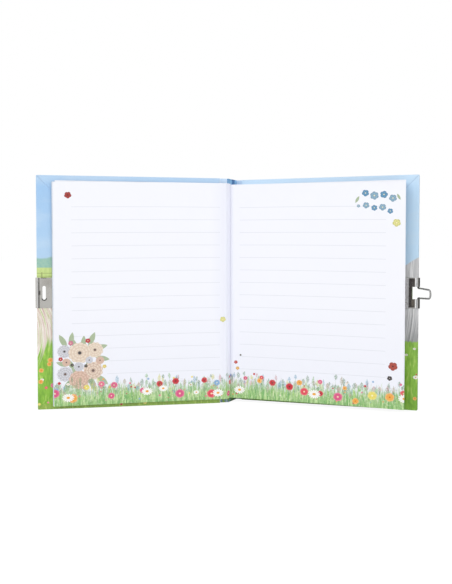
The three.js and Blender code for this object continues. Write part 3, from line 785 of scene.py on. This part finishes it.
def map_sheet(sheet, points, start=0.0):
    """The page's own map: length along its line, and height above its foot."""
    lengths = [start]
    for before, after in zip(points, points[1:]):
        lengths.append(lengths[-1] + (after - before).length)
    layer = sheet.data.uv_layers.new(name="sheet")
    for loop in sheet.data.loops:
        spot = sheet.data.vertices[loop.vertex_index].co
        nearest = min(range(len(points)), key=lambda k: (points[k] - Vector((spot.x, spot.y, 0))).length)
        layer.data[loop.index].uv = (lengths[nearest] / SHEET, (spot.z - PAGE_FOOT) / SHEET)
    return lengths


def thicken(sheet, thickness):
    """Paper's thickness, half of it to each side."""
    deselect_everything()
    sheet.select_set(True)
    bpy.context.view_layer.objects.active = sheet
    modifier = sheet.modifiers.new("thickness", "SOLIDIFY")
    modifier.thickness = thickness
    modifier.offset = 0.0
    bpy.ops.object.modifier_apply(modifier=modifier.name)


def smooth_line(points, steps):
    """A round curve through the points, as many short steps."""
    line = []
    padded = [points[0]] + list(points) + [points[-1]]
    for i in range(1, len(padded) - 2):
        a, b, c, d = padded[i - 1:i + 3]
        for k in range(steps):
            t = k / steps
            line.append(0.5 * (2 * b + (c - a) * t + (2 * a - 5 * b + 4 * c - d) * t ** 2
                               + (3 * b - a - 3 * c + d) * t ** 3))
    line.append(points[-1])
    return line


def sag(sheet, hinge, reach, drop):
    """The free edge of a leaf sinks a little."""
    for vertex in sheet.data.vertices:
        out = (Vector((vertex.co.x, vertex.co.y, 0)) - Vector((hinge.x, hinge.y, 0))).length / reach
        vertex.co.z -= drop * min(out, 1.05) ** 2


# Lines of the open pages, by reach from the spine and depth above the back cover
PAGE_REACH = 140.3
PAGE_DEPTH = 13.86
RIGHT_HINGE, LEFT_HINGE = (0, 14), (-4, 18)
CREASE = (-4.0, 14.6)
RIGHT_GUTTER = (CREASE, (-2.6, 15.0), (0.0, 14.9), (4.0, 14.35), (9.0, 14.0), (16.0, PAGE_DEPTH))
RIGHT_STEPS = range(20, 141, 6)
LEFT_GUTTER = (CREASE, (-3.75, 16.5), (-3.8, 18.6), (-4.1, 20.6))
LEFT_LENGTH = 139.8  # the open left page, from where it lies flat
LEFT_BLOCK_END = 138.0  # where the leaves under it come out
LEFT_JOIN = 3.0  # where its bend ends
RIGHT_CURVE_STEPS, LEFT_CURVE_STEPS = 5, 6
LEFT_BEND_START = 18  # in steps from the crease
LEFT_FLAT_STEPS = 24
PAGE_ROWS, LEAF_ROWS = 12, 6
RIGHT_SAG, LEFT_SAG, LEAF_SAG = 1.4 * MM, 1.2 * MM, 1.0 * MM
LEFT_SPAN = 141 * MM
LEAF_COUNT = 4
LEAF_THICKNESS = 0.2 * MM
LEAF_GAP, LEAF_LIFT, LEAF_PITCH, LEAF_STEP = 0.05, -0.1, 0.24, 0.2

LEFT_LINE_START = LEAF_FOLD + towards_reader(FRONT_ANGLE, True) * 0.85 * MM
LEFT_LINE_START.z = 0.0


def left_point(distance, lift=0.0):
    """A point on the open left page's face, by its distance from where the leaves lie flat."""
    face = LEFT_LINE_START + along(FRONT_ANGLE) * distance * MM
    return face + towards_reader(FRONT_ANGLE, True) * lift * MM


def make_right_page():
    """The leaf that turns, joined to the block in one sheet."""
    line = smooth_line([book_point(*spot) for spot in RIGHT_GUTTER], RIGHT_CURVE_STEPS)
    line += [book_point(reach, PAGE_DEPTH) for reach in (*RIGHT_STEPS, PAGE_REACH)]
    page = drawn_sheet("right_page", line, PAGE_FOOT, PAGE_HEAD, PAGE_ROWS)
    map_sheet(page, line)
    sag(page, book_point(*RIGHT_HINGE), PAGE_REACH * MM, RIGHT_SAG)
    thicken(page, PAGE_THICKNESS)
    dress(page, "right_page")
    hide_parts("turning_leaf", "turning_leaf_root")
    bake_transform(page)


def make_left_page():
    """The page on the front cover: two strips in the gutter, and the flat page."""
    join = left_point(LEFT_JOIN)
    bend = [book_point(*spot) for spot in LEFT_GUTTER] + [left_point(0.4, 0.1), join]
    whole = smooth_line(bend, LEFT_CURVE_STEPS)
    reach = left_point(LEFT_LENGTH) - join
    flat = [join + reach * k / LEFT_FLAT_STEPS for k in range(LEFT_FLAT_STEPS + 1)]
    start = 0.0
    for name, line, bodies in (
        ("left_page_gutter", whole[:LEFT_BEND_START + 1], ("text_block", "first_fold")),
        ("left_page_bend", whole[LEFT_BEND_START:], ("first_fold", "first_leaves")),
        ("left_page", flat, None),
    ):
        page = drawn_sheet(name, line, PAGE_FOOT, LEFT_HEAD, PAGE_ROWS)
        start = map_sheet(page, line, start)[-1]
        sag(page, book_point(*LEFT_HINGE), LEFT_SPAN, LEFT_SAG)
        thicken(page, PAGE_THICKNESS)
        dress(page, "left_page")
        if bodies:
            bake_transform(page)
        else:
            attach(page, "first_leaves")
        if name == "left_page_gutter":
            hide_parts("first_section_fold")


def make_lower_leaves():
    """The leaves under the open left page, each a little further out than the one above it."""
    for number in range(1, LEAF_COUNT + 1):
        lift = LEAF_LIFT - LEAF_PITCH * number
        reach = LEFT_LENGTH + LEAF_STEP * number
        middle = (LEFT_BLOCK_END + reach) / 2
        line = [left_point(distance, lift) for distance in (LEFT_BLOCK_END + LEAF_GAP, middle, reach)]
        leaf_sheet = drawn_sheet(f"lower_leaf_{number}", line, PAGE_FOOT, LEFT_HEAD, LEAF_ROWS)
        sag(leaf_sheet, book_point(*LEFT_HINGE), LEFT_SPAN, LEAF_SAG)
        thicken(leaf_sheet, LEAF_THICKNESS)
        dress(leaf_sheet, "leaf_edges")
        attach(leaf_sheet, "first_leaves")


def print_top_page(block):
    """Gives the page that faces the reader its print, under the leaf that turns."""
    block.data.materials.append(MATERIALS["right_page"])
    layer = block.data.uv_layers.new(name="sheet")
    line, facing = along(BACK_ANGLE), towards_reader(BACK_ANGLE, False)
    for face in block.data.polygons:
        if face.normal.dot(facing) > 0.9:
            face.material_index = 1
        for index in face.loop_indices:
            spot = block.data.vertices[block.data.loops[index].vertex_index].co
            layer.data[index].uv = ((spot - BOOK_ORIGIN).dot(line) / SHEET, (spot.z - PAGE_FOOT) / SHEET)


def make_low_leaves():
    """The page block, whose head stands a little lower than in the solids: a stack of leaves sinks."""
    materials = {f"section_{number}": "block_edges" for number in range(2, 8)}
    materials.update(
        back_flyleaf="endpaper", front_flyleaf="endpaper", first_section="stack_edges", spine_lining="kraft",
        spine_gauze="gauze")
    for name, material in materials.items():
        deselect_everything()
        bpy.ops.object.add(type="MESH")
        block = bpy.context.object
        block.name = f"low_{name}"
        block.data = NODES[name].data.copy()
        block.data.name = block.name
        bpy.ops.object.mode_set(mode="EDIT")
        bpy.ops.mesh.select_all(action="SELECT")
        bpy.ops.mesh.remove_doubles(threshold=0.000001)
        bpy.ops.mesh.normals_make_consistent(inside=False)
        bpy.ops.object.mode_set(mode="OBJECT")
        head = LEFT_HEAD if name in ("first_section", "front_flyleaf") else PAGE_HEAD
        for vertex in block.data.vertices:
            vertex.co.z = min(vertex.co.z, head)
        dress(block, material)
        if name == "section_2":
            print_top_page(block)
        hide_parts(name)
        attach(block, NODES[name]["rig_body"])


def dress_frame():
    """The solids that stay as they are."""
    finishes = {
        "front_cover": ("front_cover_paper",), "back_cover": ("back_cover_paper",),
        "spine": ("spine_cover_paper", "spine_card"), "groove": ("front_groove_paper", "back_groove_paper"),
        "board": ("front_board", "back_board"), "endpaper": ("front_pastedown", "back_pastedown"),
        "gauze": ("front_groove_lining", "back_groove_lining"),
        "thread": [f"sewing_thread_{number}" for number in range(1, 6)],
        "front_metal": ("front_clip",), "back_metal": ("back_clip",), "wire_metal": ("wire_bail",),
    }
    for material, names in finishes.items():
        for name in names:
            dress(NODES[name], material)


CLIP_TONES = (tint(192, 190, 185), tint(214, 212, 207))
WIRE_TONES = (tint(150, 150, 148), tint(222, 222, 220))
BLACK = tint(40, 38, 38)
CLIP_FOOT, CLIP_HEAD = 80.0, 106.0

# Painted reflections and painted shade on each clip: (from, to, foot, head) in millimetres on its cover, then
# colour, soft edge and share
FRONT_PAINTED_REFLECTIONS = (
    ((145.9, 146.6, CLIP_FOOT, CLIP_HEAD), tint(58, 56, 56), 0.2, 1.0),  # the crimp's groove, painted dark as shade and dark reflection
    ((144.9, 147.0, 90.4, 94.6), tint(56, 54, 54), 0.9, 1.0),  # the dimple in it, painted dark as shade
    ((147.4, 148.2, CLIP_FOOT, CLIP_HEAD), tint(250, 250, 254), 0.3, 0.8),  # painted highlight along the barrel
    # painted reflection of paler ground across the plate
    ((134.0, 145.6, 95.0, 107.0), tint(168, 163, 154), 7.0, 1.0),
    # painted shadow line along the plate's head
    ((140.4, 144.8, 103.8, CLIP_HEAD), tint(60, 60, 50), 0.3, 0.9),
)
SLOT_FOOT, SLOT_RADIUS = (142.4, 88.3), 2.3
BACK_PAINTED_REFLECTIONS = (
    # painted dark reflection in the plate's concave channel
    ((140.6, 145.6, 81.0, 104.2), tint(74, 68, 66), 0.35, 1.0),
    # painted sheen, lighter towards the foot
    ((142.2, 145.4, 81.0, 94.0), tint(150, 140, 124), 2.5, 1.0),
    # painted reflection of the white page on the flat plate
    ((134.0, 140.5, CLIP_FOOT, CLIP_HEAD), tint(255, 252, 248), 0.3, 1.0),
    # painted highlight on the curve into the bead
    ((145.5, 147.6, CLIP_FOOT, CLIP_HEAD), tint(255, 255, 255), 0.3, 1.0),
    # painted shade on the bead's outer side
    ((147.9, 149.6, CLIP_FOOT, CLIP_HEAD), BLACK, 0.2, 1.0),
)
# painted shade on the wire's feet by the bead
WIRE_PAINTED_REFLECTIONS = (((146.0, 150.4, CLIP_FOOT, CLIP_HEAD), BLACK, 0.8, 1.0),)


def make_materials():
    GROUPS.update(
        flower=make_one_flower(), row=make_flower_row(), leaf=make_one_leaf(), stalks=make_seed_heads(),
        grass=make_grass())
    front, back = (FRONT_FOLD, FRONT_ANGLE), (BACK_FOLD, BACK_ANGLE)
    MATERIALS.update(
        # A page's meadow seed, where its rules start and end, where the low ones end, and the share of painted
        # shade near its gutter
        right_page=page_material(
            "printed_right_page_painted_shade", 0.0, 8.0, 129.5, 129.5, 0.15, RIGHT_LEAVES, RIGHT_PRINTS),
        left_page=page_material(
            "printed_left_page_painted_shade", 310.0, 13.3, 133.5, 106.0, 0.8, LEFT_LEAVES, LEFT_PRINTS),
        front_cover=cover_material("printed_front_cover", *front, True, 4.0),
        back_cover=cover_material("printed_back_cover", *back, False, 9.0),
        spine=spine_material("printed_spine_painted_shade", tint(140, 194, 236), tint(44, 108, 172)),
        groove=spine_material("printed_joints_painted_shade", tint(206, 230, 254), tint(188, 220, 252)),
        block_edges=edge_material("block_page_edges", BACK_ANGLE),
        stack_edges=edge_material("stack_page_edges", FRONT_ANGLE),
        endpaper=plain_material("white_endpaper", tint(238, 242, 250), 0.7),
        board=spine_material(
            "board_under_the_print_painted_shade", tint(188, 212, 238), tint(176, 204, 234), tint(122, 176, 66)),
        kraft=plain_material("kraft_paper", tint(214, 196, 160), 0.9),
        gauze=plain_material("glued_gauze", tint(232, 228, 218), 0.95, 0.4),
        thread=plain_material("white_thread", tint(240, 238, 230), 0.9),
        # The lower leaves are white paper, tinted blue-grey as painted shade under the open page's edge
        leaf_edges=plain_material("lower_leaves", tint(234, 241, 250), 0.7),
        front_metal=metal_material("plated_front_clip_painted_reflections", *CLIP_TONES, *front, FRONT_PAINTED_REFLECTIONS, SLOT_FOOT),
        back_metal=metal_material("plated_back_clip_painted_reflections", *CLIP_TONES, *back, BACK_PAINTED_REFLECTIONS),
        wire_metal=metal_material("plated_wire_painted_shade", *WIRE_TONES, *back, WIRE_PAINTED_REFLECTIONS),
    )


# Floor, lights and camera


def background_rays(s):
    """The rays that see the backdrop: the camera's own, and those through or off a surface."""
    path = s.node("ShaderNodeLightPath").outputs
    return s.math("MAXIMUM", path["Is Camera Ray"], path["Is Transmission Ray"]), path["Is Glossy Ray"]


FLOOR_SIZE, FLOOR_GLOW, FLOOR_GLOW_SHARE = 30.0, 1.09, 0.84


def make_floor():
    """A pale floor that shows as white and keeps the book's shadow. Mirrors look through it."""
    deselect_everything()
    bpy.ops.mesh.primitive_plane_add(size=FLOOR_SIZE)
    floor = bpy.context.object
    floor.name = "studio_floor"
    made, s, shader = finish_material("pale_floor", roughness=0.9)
    shader.inputs["Base Color"].default_value = tint(247, 247, 248)
    seen, mirrored = background_rays(s)
    glow = s.node("ShaderNodeEmission")
    glow.inputs["Color"].default_value = (1, 1, 1, 1)
    glow.inputs["Strength"].default_value = FLOOR_GLOW
    blend = s.node("ShaderNodeMixShader")
    s.feed(blend.inputs[0], s.mul(seen, FLOOR_GLOW_SHARE))
    s.feed(blend.inputs[1], shader.outputs[0])
    s.feed(blend.inputs[2], glow.outputs[0])
    clear = s.node("ShaderNodeBsdfTransparent")
    open_to_world = s.node("ShaderNodeMixShader")
    s.feed(open_to_world.inputs[0], mirrored)
    s.feed(open_to_world.inputs[1], blend.outputs[0])
    s.feed(open_to_world.inputs[2], clear.outputs[0])
    s.feed(made.node_tree.nodes["Material Output"].inputs["Surface"], open_to_world.outputs[0])
    floor.data.materials.append(made)


# What mirrors see around the book: a direction as a share of a turn, and how bright it is
STUDIO = (
    (0.0, 1.0), (0.33, 1.0), (0.4, 0.75), (0.6, 0.78), (0.65, 0.5), (0.69, 0.06), (0.95, 0.05), (1.0, 0.6))
WORLD_LIGHT = 0.7


def make_world():
    """White for the camera, a plain light for the book, and a studio with a dark side for mirrors."""
    world = bpy.data.worlds.new("studio")
    bpy.context.scene.world = world
    world.use_nodes = True
    s = Sums(world.node_tree)
    seen, mirrored = background_rays(s)
    direction = s.node("ShaderNodeTexCoord").outputs["Generated"]
    x, y, _ = s.split(direction)
    side = s.math("ARCTAN2", x, s.mul(y, -1.0))
    turn = s.add(0.5, s.div(side, 2 * math.pi))
    room = s.ramp(turn, [(place, (level, level, level, 1)) for place, level in STUDIO])
    level, _, _ = s.split(room)
    background = world.node_tree.nodes["Background"]
    background.inputs["Color"].default_value = (1, 1, 1, 1)
    rest = s.sub(1.0, s.math("MAXIMUM", seen, mirrored))
    strength = s.add(s.add(seen, s.mul(mirrored, level)), s.mul(rest, WORLD_LIGHT))
    s.feed(background.inputs["Strength"], strength)


LAMP_SIZE = 1.4
LAMP_TARGET = Vector((0, 0, 0.09))
LAMPS = (("key_light", (-0.9, -1.5, 1.3), 11.2), ("fill_light", (1.2, -1.2, 0.9), 5.5))


def add_lamps():
    for name, place, watts in LAMPS:
        deselect_everything()
        bpy.ops.object.light_add(type="AREA", location=place)
        lamp = bpy.context.object
        lamp.name = name
        lamp.data.size = LAMP_SIZE
        lamp.data.energy = watts
        lamp.rotation_euler = (LAMP_TARGET - Vector(place)).to_track_quat("-Z", "Y").to_euler()


# The camera, fitted to the photo
CAMERA_PLACE = (-2.555 * MM, -720.85 * MM, 123.9 * MM)
CAMERA_DIP = math.radians(2.48)
CAMERA_LENS, CAMERA_SENSOR, CAMERA_NEAR = 55.48, 36.0, 0.01


def make_camera():
    deselect_everything()
    bpy.ops.object.camera_add(location=CAMERA_PLACE, rotation=(math.radians(90) - CAMERA_DIP, 0, 0))
    camera = bpy.context.object
    camera.data.lens = CAMERA_LENS
    camera.data.sensor_width = CAMERA_SENSOR
    camera.data.clip_start = CAMERA_NEAR
    bpy.context.scene.camera = camera


bpy.context.scene.view_settings.view_transform = "Standard"
make_materials()
dress_frame()
make_right_page()
make_left_page()
make_lower_leaves()
make_low_leaves()
make_floor()
make_world()
add_lamps()
make_camera()
